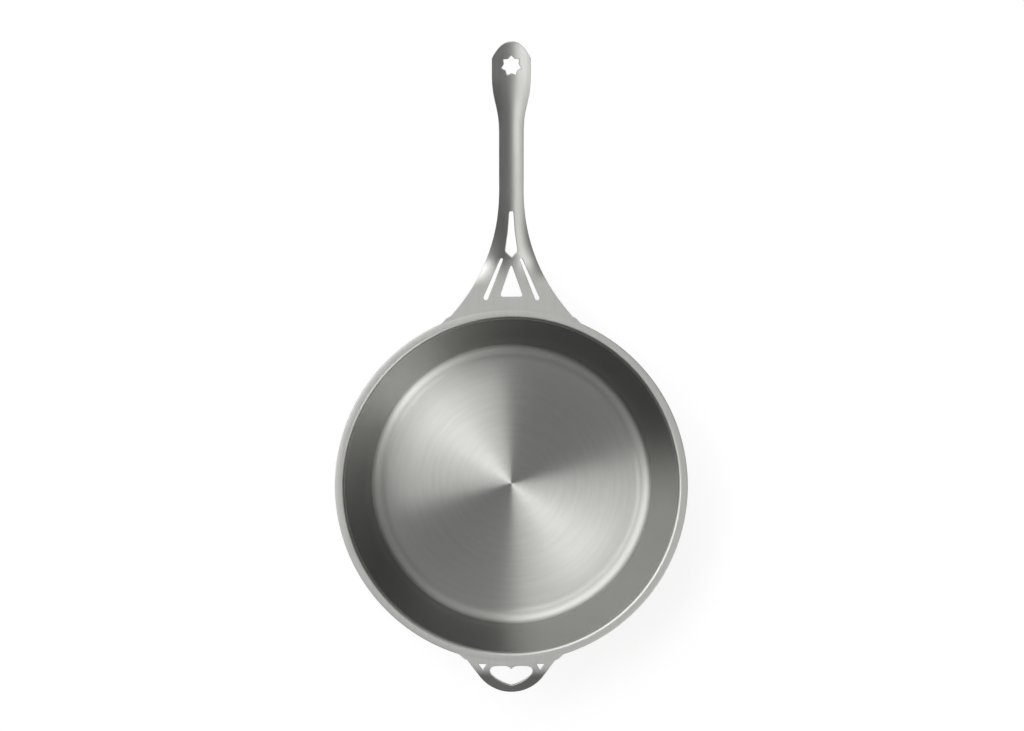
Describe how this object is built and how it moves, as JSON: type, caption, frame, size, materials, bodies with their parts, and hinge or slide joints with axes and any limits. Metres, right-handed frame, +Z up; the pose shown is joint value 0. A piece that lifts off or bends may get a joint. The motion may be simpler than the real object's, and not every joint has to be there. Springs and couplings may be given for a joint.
{
  "type": "deep saute pan",
  "caption": "Deep round steel pan with flared wall and flat rim, a long formed sheet handle with cut-outs and a hanging hole, and a helper loop opposite, for stovetop cooking.",
  "frame": {"origin": "centre of the flat underside", "axes": "+Z up out of the pan's mouth, +Y along the long handle, the helper loop towards -Y"},
  "size_m": [0.3, 0.5499, 0.1374],
  "materials": {
    "vessel_steel": "turned satin grain in rings round the pan's axis",
    "handle_steel": "fine satin grain along the handle",
    "weld_steel": "ground flush and brushed with the rim"
  },
  "bodies": {
    "root": {"vessel": "vessel_steel", "long_handle": "handle_steel", "helper_handle": "handle_steel", "handle_weld": "weld_steel", "helper_weld": "weld_steel"}
  },
  "joints": []
}
